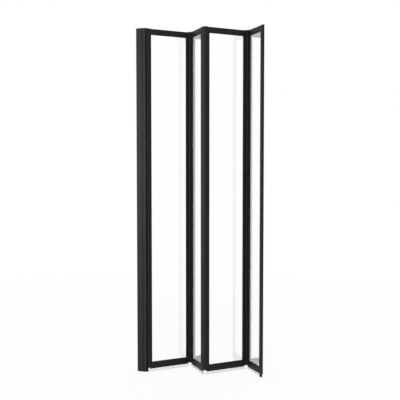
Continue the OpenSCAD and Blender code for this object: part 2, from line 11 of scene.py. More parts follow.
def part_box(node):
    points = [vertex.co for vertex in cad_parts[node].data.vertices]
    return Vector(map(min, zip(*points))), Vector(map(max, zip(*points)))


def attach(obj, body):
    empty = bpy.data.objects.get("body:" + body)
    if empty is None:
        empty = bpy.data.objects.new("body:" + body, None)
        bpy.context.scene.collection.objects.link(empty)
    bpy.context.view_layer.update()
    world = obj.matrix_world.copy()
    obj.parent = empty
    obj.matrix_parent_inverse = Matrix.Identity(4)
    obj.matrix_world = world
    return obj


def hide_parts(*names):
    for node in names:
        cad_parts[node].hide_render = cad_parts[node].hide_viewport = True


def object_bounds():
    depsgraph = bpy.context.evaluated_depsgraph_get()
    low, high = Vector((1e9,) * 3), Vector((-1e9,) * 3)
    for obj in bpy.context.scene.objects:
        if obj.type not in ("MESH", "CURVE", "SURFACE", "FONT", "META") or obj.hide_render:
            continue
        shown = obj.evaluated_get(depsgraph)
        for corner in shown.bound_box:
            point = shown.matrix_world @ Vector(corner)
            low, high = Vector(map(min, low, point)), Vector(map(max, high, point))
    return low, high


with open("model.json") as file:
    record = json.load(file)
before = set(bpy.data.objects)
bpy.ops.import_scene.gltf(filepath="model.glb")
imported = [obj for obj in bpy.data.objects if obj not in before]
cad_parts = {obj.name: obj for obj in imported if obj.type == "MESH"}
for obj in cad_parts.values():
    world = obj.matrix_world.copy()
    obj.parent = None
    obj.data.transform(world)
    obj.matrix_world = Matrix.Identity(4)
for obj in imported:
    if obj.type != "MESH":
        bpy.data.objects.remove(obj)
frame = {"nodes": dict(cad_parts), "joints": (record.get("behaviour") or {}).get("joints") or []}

bl_info = {
    "name": "Folding bath screen",
    "version": (1, 0, 0),
    "blender": (4, 5, 0),
    "location": "View3D > Sidebar > Bath screen",
    "description": "Finishes and small parts of a folding bath screen, built on its packed frame",
    "category": "Object",
}

MM = 0.001
# Two points closer than this are at the same place
NEAR = 0.02 * MM
# Points of one piece that are closer than this are merged
WELD = 0.002 * MM
CAD_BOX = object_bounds()
PIVOTS = {joint["name"]: Vector(joint["pos_m"]) for joint in frame["joints"]}
LEAVES = (1, 2, 3, 4)
FOLDS = ("12", "23", "34")
LEFT_PIVOTS = {1: "wall_pivot", 2: "fold_12_second", 3: "fold_23_second", 4: "fold_34_second"}
RIGHT_PIVOTS = {1: "fold_12_first", 2: "fold_23_first", 3: "fold_34_first"}
# The hinge post between leaves 2 and 3 has its outer face towards the room
TURNED_FOLD = "23"
FRAME_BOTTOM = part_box("leaf_1_bottom_rail")[0].z
FRAME_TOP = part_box("leaf_1_top_rail")[1].z
OPENING_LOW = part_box("leaf_1_bottom_rail")[1].z
OPENING_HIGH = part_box("leaf_1_top_rail")[0].z
# A multiple of 8, so that a screw's round has a point for each corner of the cross
SCREW_SIDES = 24


# ---- Sizes and colours that a user may change ----


def distance(name, description, millimetres):
    return bpy.props.FloatProperty(name=name, description=description, default=millimetres * MM,
                                   min=0.0, subtype="DISTANCE", unit="LENGTH", precision=5)


def colour(name, description, red, green, blue):
    return bpy.props.FloatVectorProperty(name=name, description=description, subtype="COLOR",
                                         size=3, min=0.0, max=1.0, default=(red, green, blue))


class BathScreenSizes(bpy.types.PropertyGroup):
    """Sizes of the extrusions, gaskets, seals, screws and foot"""

    frame_depth: distance("Frame depth", "Thickness of stiles and rails, front to back", 9.0)
    stile_reach: distance("Stile reach", "Pivot axis to the glass edge of a stile", 12.0)
    section_wall: distance("Section wall", "Wall beside the glass groove of a stile", 1.5)
    groove_depth: distance("Groove depth", "Depth of the glass groove of a stile", 7.0)
    edge_radius: distance("Edge radius", "Radius on the glass edges of a stile", 0.6)
    notch_foot: distance("Notch", "Pivot axis to the foot of a stile beside its link", 4.9)
    notch_height: distance("Notch height", "Height of the notch that holds a link", 6.5)
    post_gap: distance("Post gap", "Gap between a hinge post and a stile", 0.4)
    post_depth: distance("Post depth", "Outer face of a hinge post from its pivots", 6.32)
    post_crown: distance("Post crown", "Radius of the outer face of a hinge post", 40.0)
    post_edge: distance("Post edge", "Radius on the long edges of a hinge post", 0.35)
    glass_thickness: distance("Glass", "Thickness of the glass", 5.0)
    gasket_lip: distance("Gasket lip", "How far a gasket bead shows beyond the frame", 0.5)
    gasket_bite: distance("Gasket bite", "How far a gasket bead reaches into its groove", 3.0)
    seal_width: distance("Seal width", "Width of a sweep seal's base", 8.0)
    seal_base: distance("Seal base", "Thickness of a sweep seal's base", 1.6)
    seal_blade: distance("Seal blade", "Thickness of a sweep seal's blades", 0.9)
    seal_toe: distance("Seal toe", "Middle of the seal to the outside of a blade's edge", 1.8)
    seal_bead: distance("Seal bead", "Height of the line along the middle of a blade", 0.35)
    seal_overrun: distance("Seal overrun", "How far a seal runs past the pivots", 2.5)
    frame_screw: distance("Frame screw", "Head radius of the frame and pivot screws", 2.5)
    frame_screw_rise: distance("Frame screw rise", "How far their domed heads stand up", 0.4)
    frame_screw_sink: distance("Frame screw sink", "Depth of their countersunk heads", 1.2)
    frame_screw_shank: distance("Frame screw shank", "Shank radius of those screws", 1.3)
    frame_screw_length: distance("Frame screw length", "Length of those screws", 6.0)
    stile_screw: distance("Stile screw", "Pivot axis to the screws of a stile", 8.5)
    rail_screw: distance("Rail screw", "Pivot axis to the screws of a rail", 26.0)
    adjuster: distance("Adjusting screw", "Head radius of the adjusting screws", 3.8)
    adjuster_shank: distance("Adjusting screw shank", "Shank radius of those screws", 1.9)
    foot_round: distance("Foot rim", "Radius of the rims of the foot", 1.2)
    foot_groove: distance("Foot groove", "Depth of the grooves round and under the foot", 0.3)
    foot_socket: distance("Foot socket", "Radius of the hole for the neck", 4.45)
    foot_socket_depth: distance("Foot socket depth", "Depth of the hole for the neck", 3.0)


class BathScreenColours(bpy.types.PropertyGroup):
    """Base colours of the finishes"""

    coat: colour("Powder coat", "Satin black coat of the leaves", 0.010, 0.010, 0.0105)
    # A lighter copy of the black coat: painted light that brightens the faces of the wall channel and
    # jamb
    channel_coat_painted_lighter: colour("Channel coat", "Coat of the wall channel", 0.014, 0.014, 0.0147)
    casting: colour("Castings", "Black finish of links and pivot blocks", 0.010, 0.010, 0.0105)
    nylon: colour("Nylon", "Caps and bushes", 0.010, 0.010, 0.010)
    rubber: colour("Rubber", "Gaskets and foot", 0.008, 0.008, 0.008)
    glass: colour("Glass", "Tint of the clear glass", 0.985, 0.995, 0.99)
    seal: colour("Seal", "Tint of the clear seals", 0.975, 0.985, 0.99)
    steel: colour("Steel", "Screws", 0.52, 0.52, 0.53)
    alloy: colour("Mill alloy", "Corner keys", 0.60, 0.61, 0.62)
    floor: colour("Floor", "Studio floor", 0.90, 0.90, 0.90)


class BathScreenStudio(bpy.types.PropertyGroup):
    """Camera and light of the studio"""

    camera_place: bpy.props.FloatVectorProperty(
        name="Camera place", description="Where the camera stands", subtype="TRANSLATION",
        unit="LENGTH", size=3, default=(1.1743, -2.3996, 0.8351))
    camera_turn: bpy.props.FloatProperty(
        name="Camera turn", description="Angle to the right of the straight-on view",
        subtype="ANGLE", default=radians(20.62))
    camera_dip: bpy.props.FloatProperty(
        name="Camera dip", description="How far the camera looks down", subtype="ANGLE",
        default=radians(2.75))
    lens: bpy.props.FloatProperty(
        name="Lens", description="Focal length on a 36 mm sensor", min=10.0, default=58.47)
    fill: bpy.props.FloatProperty(
        name="Fill", description="Strength of the even light of the room", min=0.0, default=0.68)
    key: bpy.props.FloatProperty(
        name="Key", description="Power of the large soft lamp", subtype="POWER", unit="POWER",
        min=0.0, default=82.0)
    key_place: bpy.props.FloatVectorProperty(
        name="Key place", description="Where the lamp stands", subtype="TRANSLATION",
        unit="LENGTH", size=3, default=(-2.6, -3.8, 1.1))
    key_size: bpy.props.FloatProperty(
        name="Key size", description="Width of the lamp", subtype="DISTANCE", unit="LENGTH",
        min=0.1, default=2.0)
    floor_glow: bpy.props.FloatProperty(
        name="Floor glow", description="How much of the floor's tone is plain white", min=0.0,
        max=1.0, subtype="FACTOR", default=0.94)


def sizes():
    return bpy.context.scene.bath_screen_sizes


def colours():
    return bpy.context.scene.bath_screen_colours


def studio():
    return bpy.context.scene.bath_screen_studio


# ---- Shader maths ----


class Value:
    """An output socket of a material that Python's operators work on"""

    def __init__(self, shader, socket):
        self.shader = shader
        self.socket = socket

    def maths(self, operation, first, second):
        settings = {"operation": operation}
        return self.shader.node("ShaderNodeMath", settings, {0: first, 1: second})["Value"]

    def __add__(self, other):
        return self.maths("ADD", self, other)

    def __radd__(self, other):
        return self.maths("ADD", other, self)

    def __mul__(self, other):
        return self.maths("MULTIPLY", self, other)

    def __rmul__(self, other):
        return self.maths("MULTIPLY", other, self)


class Outputs:
    """The outputs of a new node, each wrapped as a Value"""

    def __init__(self, shader, node):
        self.shader = shader
        self.sockets = node.outputs

    def __getitem__(self, key):
        return Value(self.shader, self.sockets[key])


class Shader:
    """The node tree of a material or world, filled one node at a time"""

    def __init__(self, owner):
        owner.use_nodes = True
        self.owner = owner
        self.tree = owner.node_tree
        self.tree.nodes.clear()

    def node(self, kind, settings=None, inputs=None):
        made = self.tree.nodes.new(kind)
        for key, setting in (settings or {}).items():
            setattr(made, key, setting)
        for key, given in (inputs or {}).items():
            if isinstance(given, Value):
                self.tree.links.new(given.socket, made.inputs[key])
            else:
                made.inputs[key].default_value = given
        return Outputs(self, made)

    def grain(self, scale, detail=2.0, roughness=0.5):
        """Noise from 0 to 1 in the object's own coordinates, scale in bumps per metre"""
        place = self.node("ShaderNodeTexCoord")["Object"]
        inputs = {"Vector": place, "Scale": scale, "Detail": detail, "Roughness": roughness}
        return self.node("ShaderNodeTexNoise", {"noise_dimensions": "3D"}, inputs)["Fac"]

    def tinted(self, mask, low, high):
        """A colour that goes from low to high with the mask"""
        # A Mix node takes its colours at inputs 6 and 7, and gives their mix at output 2
        settings = {"data_type": "RGBA", "blend_type": "MIX"}
        inputs = {"Factor": mask, 6: (*low, 1.0), 7: (*high, 1.0)}
        return self.node("ShaderNodeMix", settings, inputs)[2]

    def bump(self, height, depth, strength):
        """The normal of a skin whose bumps are as high as depth"""
        inputs = {"Height": height, "Distance": depth, "Strength": strength}
        return self.node("ShaderNodeBump", None, inputs)["Normal"]

    def slant(self):
        """0 where a surface is seen straight on, towards 1 where it is seen edge-on"""
        return self.node("ShaderNodeLayerWeight", None, {"Blend": 0.5})["Facing"]

    def clamped(self, value):
        return self.node("ShaderNodeClamp", None, {"Value": value})["Result"]

    def mixed(self, factor, first, second):
        """The first shader where the factor is 0, and the second where it is 1"""
        return self.node("ShaderNodeMixShader", None, {0: factor, 1: first, 2: second})["Shader"]

    def finished(self, shading):
        self.node("ShaderNodeOutputMaterial", None, {"Surface": shading})
        return self.owner

    def surface(self, inputs):
        return self.finished(self.node("ShaderNodeBsdfPrincipled", None, inputs)["BSDF"])

    def see_through(self, inputs, passed):
        """A clear surface that lets this share of the light past into its shadow"""
        clear = self.node("ShaderNodeBsdfPrincipled", None, inputs)["BSDF"]
        grey = {"Color": (passed, passed, passed, 1.0)}
        shadow = self.node("ShaderNodeBsdfTransparent", None, grey)["BSDF"]
        shading = self.node("ShaderNodeLightPath")["Is Shadow Ray"]
        return self.finished(self.mixed(shading, clear, shadow))


def new_shader(name):
    return Shader(bpy.data.materials.new(name))


def scaled(shade, factor):
    return tuple(channel * factor for channel in shade)


# ---- Finishes ----


def powder_coat(name, shade):
    """Satin powder coat: fine orange peel, and a sheen that varies a little along the bar"""
    shader = new_shader(name)
    cloud = shader.grain(scale=9.0, detail=3.0)
    peel = shader.grain(scale=1300.0, detail=1.5)
    return shader.surface({
        "Base Color": shader.tinted(cloud, scaled(shade, 0.85), scaled(shade, 1.15)),
        "Roughness": 0.40 + 0.08 * cloud + 0.06 * peel,
        "Specular IOR Level": 0.20,
        "Normal": shader.bump(peel, depth=0.04 * MM, strength=0.5),
    })


def casting(name, shade):
    """Die casting under black paint: a coarser skin than the powder coat"""
    shader = new_shader(name)
    skin = shader.grain(scale=700.0, detail=4.0, roughness=0.6)
    return shader.surface({
        "Base Color": shader.tinted(skin, scaled(shade, 0.8), scaled(shade, 1.3)),
        "Roughness": 0.44 + 0.16 * skin,
        "Specular IOR Level": 0.25,
        "Normal": shader.bump(skin, depth=0.06 * MM, strength=0.6),
    })


def moulding(name, shade):
    """Moulded nylon with the fine matt grain of an eroded mould"""
    shader = new_shader(name)
    grain = shader.grain(scale=1800.0, detail=3.0, roughness=0.7)
    cloud = shader.grain(scale=60.0)
    return shader.surface({
        "Base Color": shader.tinted(cloud, scaled(shade, 0.9), scaled(shade, 1.2)),
        "Roughness": 0.46 + 0.14 * grain,
        "Specular IOR Level": 0.30,
        "Normal": shader.bump(grain, depth=0.03 * MM, strength=0.6),
    })


def soft_rubber(name, shade):
    """Matt rubber with a dusty bloom"""
    shader = new_shader(name)
    grain = shader.grain(scale=2600.0, detail=4.0, roughness=0.6)
    bloom = shader.grain(scale=45.0, detail=3.0)
    return shader.surface({
        "Base Color": shader.tinted(bloom, scaled(shade, 0.8), scaled(shade, 1.6)),
        "Roughness": 0.62 + 0.2 * grain,
        "Specular IOR Level": 0.18,
        "Normal": shader.bump(grain, depth=0.04 * MM, strength=0.7),
    })


def clear_glass(name, shade):
    """Toughened glass under an easy-clean coat, which mirrors more at a slant"""
    shader = new_shader(name)
    slant = shader.slant()
    steep = slant * slant
    # The coat doesn't show straight on, and shows in full from 37 degrees
    gain = 600.0
    return shader.see_through({
        "Base Color": (*shade, 1.0),
        "Roughness": 0.0,
        "IOR": 1.5,
        "Transmission Weight": 1.0,
        "Coat Weight": shader.clamped(gain * steep * steep),
        "Coat Roughness": 0.0,
        "Coat IOR": 3.5,
    }, passed=0.97)


def clear_vinyl(name, shade):
    """Clear flexible vinyl, milky in patches along its extrusion and greyer at a slant"""
    shader = new_shader(name)
    haze = shader.grain(scale=90.0, detail=3.0)
    gain = 1.6
    return shader.see_through({
        "Base Color": shader.tinted(haze, scaled(shade, 0.97), shade),
        "Roughness": 0.14 + 0.1 * haze,
        "IOR": 1.3,
        "Transmission Weight": 0.95,
        "Coat Weight": shader.clamped(gain * shader.slant()),
        "Coat IOR": 1.3,
        "Coat Tint": (0.93, 0.93, 0.93, 1.0),
        "Normal": shader.bump(haze, depth=0.4 * MM, strength=0.1),
    }, passed=0.93)


def bright_metal(name, shade, rough):
    """Bare metal with fine turning and drawing marks"""
    shader = new_shader(name)
    marks = shader.grain(scale=2200.0, detail=3.0, roughness=0.6)
    stain = shader.grain(scale=120.0)
    return shader.surface({
        "Base Color": shader.tinted(stain, scaled(shade, 0.88), shade),
        "Metallic": 1.0,
        "Roughness": rough + 0.12 * marks,
        "Normal": shader.bump(marks, depth=0.02 * MM, strength=0.4),
    })


FINISHES = {}


def make_finishes():
    """One material for each of the record's slots, and a lighter copy of the black coat that paints
    light onto the channel
    """
    tint = colours()
    FINISHES["black_coat"] = powder_coat("satin_black_powder_coat", tint.coat)
    # The same powder coat made lighter, as painted light on the channel's face
    FINISHES["channel_coat_painted_lighter"] = powder_coat("wall_channel_coat_painted_lighter", tint.channel_coat_painted_lighter)
    FINISHES["black_casting"] = casting("painted_black_casting", tint.casting)
    FINISHES["nylon"] = moulding("black_moulded_nylon", tint.nylon)
    FINISHES["rubber"] = soft_rubber("black_foot_rubber", tint.rubber)
    FINISHES["black_gasket"] = soft_rubber("black_gasket_rubber", tint.rubber)
    FINISHES["clear_glass"] = clear_glass("clear_toughened_glass", tint.glass)
    FINISHES["clear_seal"] = clear_vinyl("clear_seal_vinyl", tint.seal)
    FINISHES["steel"] = bright_metal("stainless_screw_steel", tint.steel, rough=0.26)
    FINISHES["mill_alloy"] = bright_metal("mill_finish_alloy", tint.alloy, rough=0.34)


def finish_node(node, finish):
    """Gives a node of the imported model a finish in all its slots"""
    piece = frame["nodes"][node]
    piece.data.materials.clear()
    piece.data.materials.append(FINISHES[finish])


# ---- Places ----


def leaf_length(leaf):
    """Distance between a leaf's pivots; leaf 4 is as long as leaf 2"""
    known = leaf if leaf in RIGHT_PIVOTS else 2
    return (PIVOTS[RIGHT_PIVOTS[known]] - PIVOTS[LEFT_PIVOTS[known]]).length


def leaf_place(leaf):
    """Matrix that takes a leaf from its own frame, with +X from its left pivot to its right one"""
    start = PIVOTS[LEFT_PIVOTS[leaf]]
    if leaf in RIGHT_PIVOTS:
        along = PIVOTS[RIGHT_PIVOTS[leaf]] - start
    else:
        low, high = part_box("foot")
        along = (low + high) / 2 - start
    turn = Matrix.Rotation(atan2(along.y, along.x), 4, "Z")
    return Matrix.Translation((start.x, start.y, 0.0)) @ turn


# ---- Mesh helpers ----


def flat_face(bm, corners):
    face = bm.faces.new([bm.verts.new(corner) for corner in corners])
    # An inset needs the normal, which a new face doesn't have yet
    face.normal_update()
    return face


def only(kind, parts):
    return [part for part in parts if isinstance(part, kind)]


def extruded(bm, faces, step):
    """Extrudes faces by a step and gives the faces at the far end"""
    # Without its edges a face of a solid would stay behind inside it
    edges = {edge for face in faces for edge in face.edges}
    made = bmesh.ops.extrude_face_region(bm, geom=[*faces, *edges])["geom"]
    bmesh.ops.translate(bm, verts=only(bmesh.types.BMVert, made), vec=step)
    return only(bmesh.types.BMFace, made)


def upright_edges(bm, x, y):
    """The edges along Z at one point of a section"""
    return [edge for edge in bm.edges
            if all(abs(vert.co.x - x) < NEAR and abs(vert.co.y - y) < NEAR for vert in edge.verts)]


def rounded(bm, edges, radius, segments):
    bmesh.ops.bevel(bm, geom=edges, offset=radius, offset_type="OFFSET", affect="EDGES",
                    segments=segments, profile=0.5, material=-1, clamp_overlap=True)


def finished_piece(bm, name, body, finish, node, place=None, sharp=35.0):
    """Turns a bmesh into a piece that rides on a body and stands for a node"""
    bmesh.ops.remove_doubles(bm, verts=bm.verts, dist=WELD)
    if place is not None:
        bmesh.ops.transform(bm, matrix=place, verts=bm.verts)
    bmesh.ops.recalc_face_normals(bm, faces=bm.faces)
    mesh = bpy.data.meshes.new(name)
    bm.to_mesh(mesh)
    bm.free()
    mesh.shade_smooth()
    mesh.set_sharp_from_angle(angle=radians(sharp))
    mesh.materials.append(FINISHES[finish])
    piece = bpy.data.objects.new(name, mesh)
    bpy.context.scene.collection.objects.link(piece)
    # Flat faces stay flat beside their rounded edges
    even = piece.modifiers.new("even_shading", "WEIGHTED_NORMAL")
    even.keep_sharp = True
    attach(piece, body)
    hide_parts(node)


# ---- Operators ----


class BATHSCREEN_OT_coat(bpy.types.Operator):
    """Coats the rails, and the channel and jamb in a lighter copy of the coat that paints light onto
    them
    """

    bl_idname = "bathscreen.coat"
    bl_label = "Coat the channel and rails"

    def execute(self, context):
        # The lighter coat paints light onto the channel and jamb
        finish_node("wall_channel", "channel_coat_painted_lighter")
        finish_node("jamb", "channel_coat_painted_lighter")
        for leaf in LEAVES:
            finish_node("leaf_%d_top_rail" % leaf, "black_coat")
            finish_node("leaf_%d_bottom_rail" % leaf, "black_coat")
        return {"FINISHED"}


class BATHSCREEN_OT_stiles(bpy.types.Operator):
    """Makes the stiles: glass groove, round hinge edge, and a notch for the bottom link"""

    bl_idname = "bathscreen.stiles"
    bl_label = "Make the stiles"

    nose_segments = 10
    edge_segments = 3

    def execute(self, context):
        for leaf in LEAVES:
            self.make_stile(leaf, "left_stile", True)
            self.make_stile(leaf, "right_stile", leaf in RIGHT_PIVOTS)
        return {"FINISHED"}

    def make_stile(self, leaf, side, hinged):
        size = sizes()
        half = size.frame_depth / 2
        lips = half - size.section_wall
        reach = size.stile_reach
        groove = reach - size.groove_depth
        foot = size.notch_foot if hinged else -half
        notch_top = FRAME_BOTTOM + size.notch_height
        outline = ((foot, -half), (reach, -half), (reach, -lips), (groove, -lips),
                   (groove, lips), (reach, lips), (reach, half), (foot, half))
        bm = bmesh.new()
        base = flat_face(bm, [(x, y, FRAME_BOTTOM) for x, y in outline])
        level = extruded(bm, [base], (0.0, 0.0, size.notch_height))
        extruded(bm, level, (0.0, 0.0, FRAME_TOP - notch_top))
        if hinged:
            above = [face for face in bm.faces
                     if all(abs(vert.co.x - foot) < NEAR for vert in face.verts)
                     and face.calc_center_median().z > notch_top]
            extruded(bm, above, (-half - foot, 0.0, 0.0))
        nose = upright_edges(bm, -half, -half) + upright_edges(bm, -half, half)
        if hinged:
            rounded(bm, nose, half - NEAR, self.nose_segments)
        else:
            rounded(bm, nose, size.edge_radius, self.edge_segments)
        outer = upright_edges(bm, reach, -half) + upright_edges(bm, reach, half)
        rounded(bm, outer, size.edge_radius, self.edge_segments)
        if side == "right_stile":
            bmesh.ops.scale(bm, verts=bm.verts, vec=(-1.0, 1.0, 1.0))
            bmesh.ops.translate(bm, verts=bm.verts, vec=(leaf_length(leaf), 0.0, 0.0))
        node = "leaf_%d_%s" % (leaf, side)
        finished_piece(bm, node + "_bar", "leaf_%d" % leaf, "black_coat", node, leaf_place(leaf))


class BATHSCREEN_OT_posts(bpy.types.Operator):
    """Makes the hinge posts: two hollow seats for the stiles and a crowned outer face"""

    bl_idname = "bathscreen.posts"
    bl_label = "Make the hinge posts"

    seat_segments = 12
    crown_cuts = 11
    edge_segments = 3

    def execute(self, context):
        for fold in FOLDS:
            self.make_post(fold)
        return {"FINISHED"}

    def make_post(self, fold):
        size = sizes()
        first = PIVOTS["fold_%s_first" % fold]
        second = PIVOTS["fold_%s_second" % fold]
        pivot = (second - first).length / 2
        half = size.frame_depth / 2
        depth = size.post_depth
        seat = half + size.post_gap
        bar = pivot - seat
        node = "hinge_%s_post" % fold
        low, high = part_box(node)
        outline = ((-bar, -half), (bar, -half), (bar, seat), (pivot, seat),
                   (pivot, depth), (-pivot, depth), (-pivot, seat), (-bar, seat))
        bm = bmesh.new()
        base = flat_face(bm, [(x, y, low.z) for x, y in outline])
        extruded(bm, [base], (0.0, 0.0, high.z - low.z))
        self.crown(bm, depth)
        tip = depth - pivot * pivot / (2 * size.post_crown)
        for side in (-1, 1):
            rounded(bm, upright_edges(bm, side * bar, seat), seat - NEAR, self.seat_segments)
            rounded(bm, upright_edges(bm, side * bar, -half), size.post_edge, self.edge_segments)
            rounded(bm, upright_edges(bm, side * pivot, tip), size.post_edge, self.edge_segments)
        middle = (first + second) / 2
        turn = Matrix.Rotation(pi if fold == TURNED_FOLD else 0.0, 4, "Z")
        place = Matrix.Translation((middle.x, middle.y, 0.0)) @ turn
        finished_piece(bm, node + "_bar", "hinge_" + fold, "black_coat", node, place)

    def crown(self, bm, depth):
        """Divides the outer face and lowers it towards its long edges"""
        across = [edge for edge in bm.edges
                  if all(abs(vert.co.y - depth) < NEAR for vert in edge.verts)
                  and abs(edge.verts[0].co.z - edge.verts[1].co.z) < NEAR]
        bmesh.ops.subdivide_edges(bm, edges=across, cuts=self.crown_cuts)
        for vert in bm.verts:
            if abs(vert.co.y - depth) < NEAR:
                vert.co.y -= vert.co.x * vert.co.x / (2 * sizes().post_crown)


class BATHSCREEN_OT_castings(bpy.types.Operator):
    """Finishes the pivot blocks and the links of the hinges"""

    bl_idname = "bathscreen.castings"
    bl_label = "Finish the castings"

    def execute(self, context):
        finish_node("pivot_block_top", "black_casting")
        finish_node("pivot_block_bottom", "black_casting")
        for fold in FOLDS:
            finish_node("hinge_%s_top_link" % fold, "black_casting")
            finish_node("hinge_%s_bottom_link" % fold, "black_casting")
        return {"FINISHED"}


class BATHSCREEN_OT_mouldings(bpy.types.Operator):
    """Finishes the nylon caps, bushes and insert, and the hidden corner keys"""

    bl_idname = "bathscreen.mouldings"
    bl_label = "Finish the mouldings"

    def execute(self, context):
        finish_node("channel_cap", "nylon")
        finish_node("end_plug", "nylon")
        finish_node("foot_insert", "nylon")
        for leaf in LEAVES:
            finish_node("leaf_%d_bushes" % leaf, "nylon")
            finish_node("leaf_%d_corner_keys" % leaf, "mill_alloy")
        return {"FINISHED"}


class BATHSCREEN_OT_glazing(bpy.types.Operator):
    """Finishes the glass and makes the rounded beads of its gaskets"""

    bl_idname = "bathscreen.glazing"
    bl_label = "Glaze the leaves"

    bead_segments = 4

    def execute(self, context):
        for leaf in LEAVES:
            finish_node("leaf_%d_glass" % leaf, "clear_glass")
            self.make_gasket(leaf)
        return {"FINISHED"}

    def make_gasket(self, leaf):
        """A bead on each face of the glass, clear of the glass and groove by a hair"""
        size = sizes()
        inner = size.glass_thickness / 2 + NEAR
        outer = size.frame_depth / 2 - size.section_wall - NEAR
        left = size.stile_reach - size.gasket_bite
        right = leaf_length(leaf) - left
        low = OPENING_LOW - size.gasket_bite
        high = OPENING_HIGH + size.gasket_bite
        width = size.gasket_bite + size.gasket_lip
        bm = bmesh.new()
        for side in (-1, 1):
            y = side * inner
            sheet = flat_face(bm, [(left, y, low), (right, y, low), (right, y, high), (left, y, high)])
            ring = bmesh.ops.inset_region(bm, faces=[sheet], thickness=width, use_boundary=True,
                                          use_even_offset=True)["faces"]
            bmesh.ops.delete(bm, geom=[sheet], context="FACES_ONLY")
            extruded(bm, ring, (0.0, side * (outer - inner), 0.0))
            rounded(bm, self.lip_edges(bm, side * outer), (outer - inner) / 2, self.bead_segments)
        node = "leaf_%d_gasket" % leaf
        finished_piece(bm, node + "_beads", "leaf_%d" % leaf, "black_gasket", node,
                       leaf_place(leaf), sharp=50.0)

    def lip_edges(self, bm, y):
        """The four edges round the opening on a bead's outer face"""
        return [edge for edge in bm.edges
                if all(abs(vert.co.y - y) < NEAR and OPENING_LOW < vert.co.z < OPENING_HIGH
                       for vert in edge.verts)]


class BATHSCREEN_OT_seals(bpy.types.Operator):
    """Makes the sweep seals: a flat base and two curved blades with a line along them"""

    bl_idname = "bathscreen.seals"
    bl_label = "Make the sweep seals"

    blade_steps = 8

    def execute(self, context):
        for leaf in LEAVES:
            self.make_seal(leaf)
        return {"FINISHED"}

    def make_seal(self, leaf):
        size = sizes()
        node = "leaf_%d_sweep_seal" % leaf
        start = -size.seal_overrun
        end = leaf_length(leaf) + size.seal_overrun
        if leaf not in RIGHT_PIVOTS:
            end = leaf_length(leaf) - size.stile_reach
        base_low = FRAME_BOTTOM - size.seal_base
        bm = bmesh.new()
        self.base_section(bm, start, base_low)
        for side in (-1, 1):
            self.blade_section(bm, start, base_low, base_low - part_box(node)[0].z, side)
        bmesh.ops.remove_doubles(bm, verts=bm.verts, dist=NEAR / 2)
        extruded(bm, list(bm.faces), (end - start, 0.0, 0.0))
        finished_piece(bm, node + "_blades", "leaf_%d" % leaf, "clear_seal", node,
                       leaf_place(leaf), sharp=30.0)

    def base_section(self, bm, x, low):
        """The base in three faces, the outer two as wide as a blade is thick"""
        half = sizes().seal_width / 2
        blade = sizes().seal_blade
        high = FRAME_BOTTOM - NEAR
        for left, right in ((-half, blade - half), (blade - half, half - blade), (half - blade, half)):
            flat_face(bm, [(x, left, low), (x, right, low), (x, right, high), (x, left, high)])
        bmesh.ops.remove_doubles(bm, verts=bm.verts, dist=NEAR / 2)

    def blade_section(self, bm, x, low, height, side):
        """Spins a blade's top edge down and inwards, and raises the line along its middle"""
        size = sizes()
        half = size.seal_width / 2
        lean = half - size.seal_toe
        angle = 2 * atan2(lean, height)
        radius = height / sin(angle)
        centre = Vector((x, side * (half - radius), low))
        blade_inside = half - size.seal_blade - NEAR
        under = [edge for edge in bm.edges
                 if all(abs(vert.co.z - low) < NEAR and side * vert.co.y > blade_inside
                        for vert in edge.verts)]
        root = under + [vert for edge in under for vert in edge.verts]
        bmesh.ops.spin(bm, geom=root, cent=centre, axis=(1.0, 0.0, 0.0), angle=-side * angle,
                       steps=self.blade_steps)
        outward = Vector((0.0, side * cos(angle / 2), -sin(angle / 2)))
        for vert in bm.verts:
            if (vert.co - centre - radius * outward).length < NEAR:
                vert.co += size.seal_bead * outward


def turned_screw(bm, place, outline, recess_depth):
    """A screw along -Z with a cross recess, from an outline of (radius, level) pairs"""
    known = set(bm.verts)
    radius, level = outline[0]
    ring = bmesh.ops.create_circle(bm, cap_ends=True, segments=SCREW_SIDES, radius=radius)["verts"]
    bmesh.ops.translate(bm, verts=ring, vec=(0.0, 0.0, level))
    sink_cross(bm, ring[0].link_faces[0], radius, recess_depth)
    loop = [edge for edge in bm.edges if edge.is_boundary]
    for next_radius, next_level in outline[1:]:
        made = bmesh.ops.extrude_edge_only(bm, edges=loop)["geom"]
        ring = only(bmesh.types.BMVert, made)
        factor = next_radius / radius
        bmesh.ops.scale(bm, verts=ring, vec=(factor, factor, 1.0))
        bmesh.ops.translate(bm, verts=ring, vec=(0.0, 0.0, next_level - level))
        loop = [edge for edge in only(bmesh.types.BMEdge, made)
                if all(vert in ring for vert in edge.verts)]
        radius, level = next_radius, next_level
    bmesh.ops.contextual_create(bm, geom=loop)
    bmesh.ops.transform(bm, matrix=place, verts=[vert for vert in bm.verts if vert not in known])


def sink_cross(bm, top, radius, depth):
    """Sinks a tapered cross in the round top of a screw's head"""
    rim = 0.1 * radius
    arm = 0.85 * radius
    taper = 0.6
    # The corners of an arm's end are one step of the ring from its middle
    corner = 2 * pi / SCREW_SIDES
    bmesh.ops.inset_region(bm, faces=[top], thickness=rim, use_boundary=True)
    for vert in top.verts:
        place = Vector(vert.co.xy)
        # Angle from the middle of the nearest arm
        slant = abs((atan2(place.y, place.x) + pi / 4) % (pi / 2) - pi / 4)
        if slant < 1.5 * corner:
            reach = arm / cos(slant)
        else:
            reach = arm * tan(corner) / sin(slant)
        vert.co.xy = place.normalized() * reach
    bottom = extruded(bm, [top], (0.0, 0.0, -depth))
    sunk = list({vert for face in bottom for vert in face.verts})
    bmesh.ops.scale(bm, verts=sunk, vec=(taper, taper, 1.0))


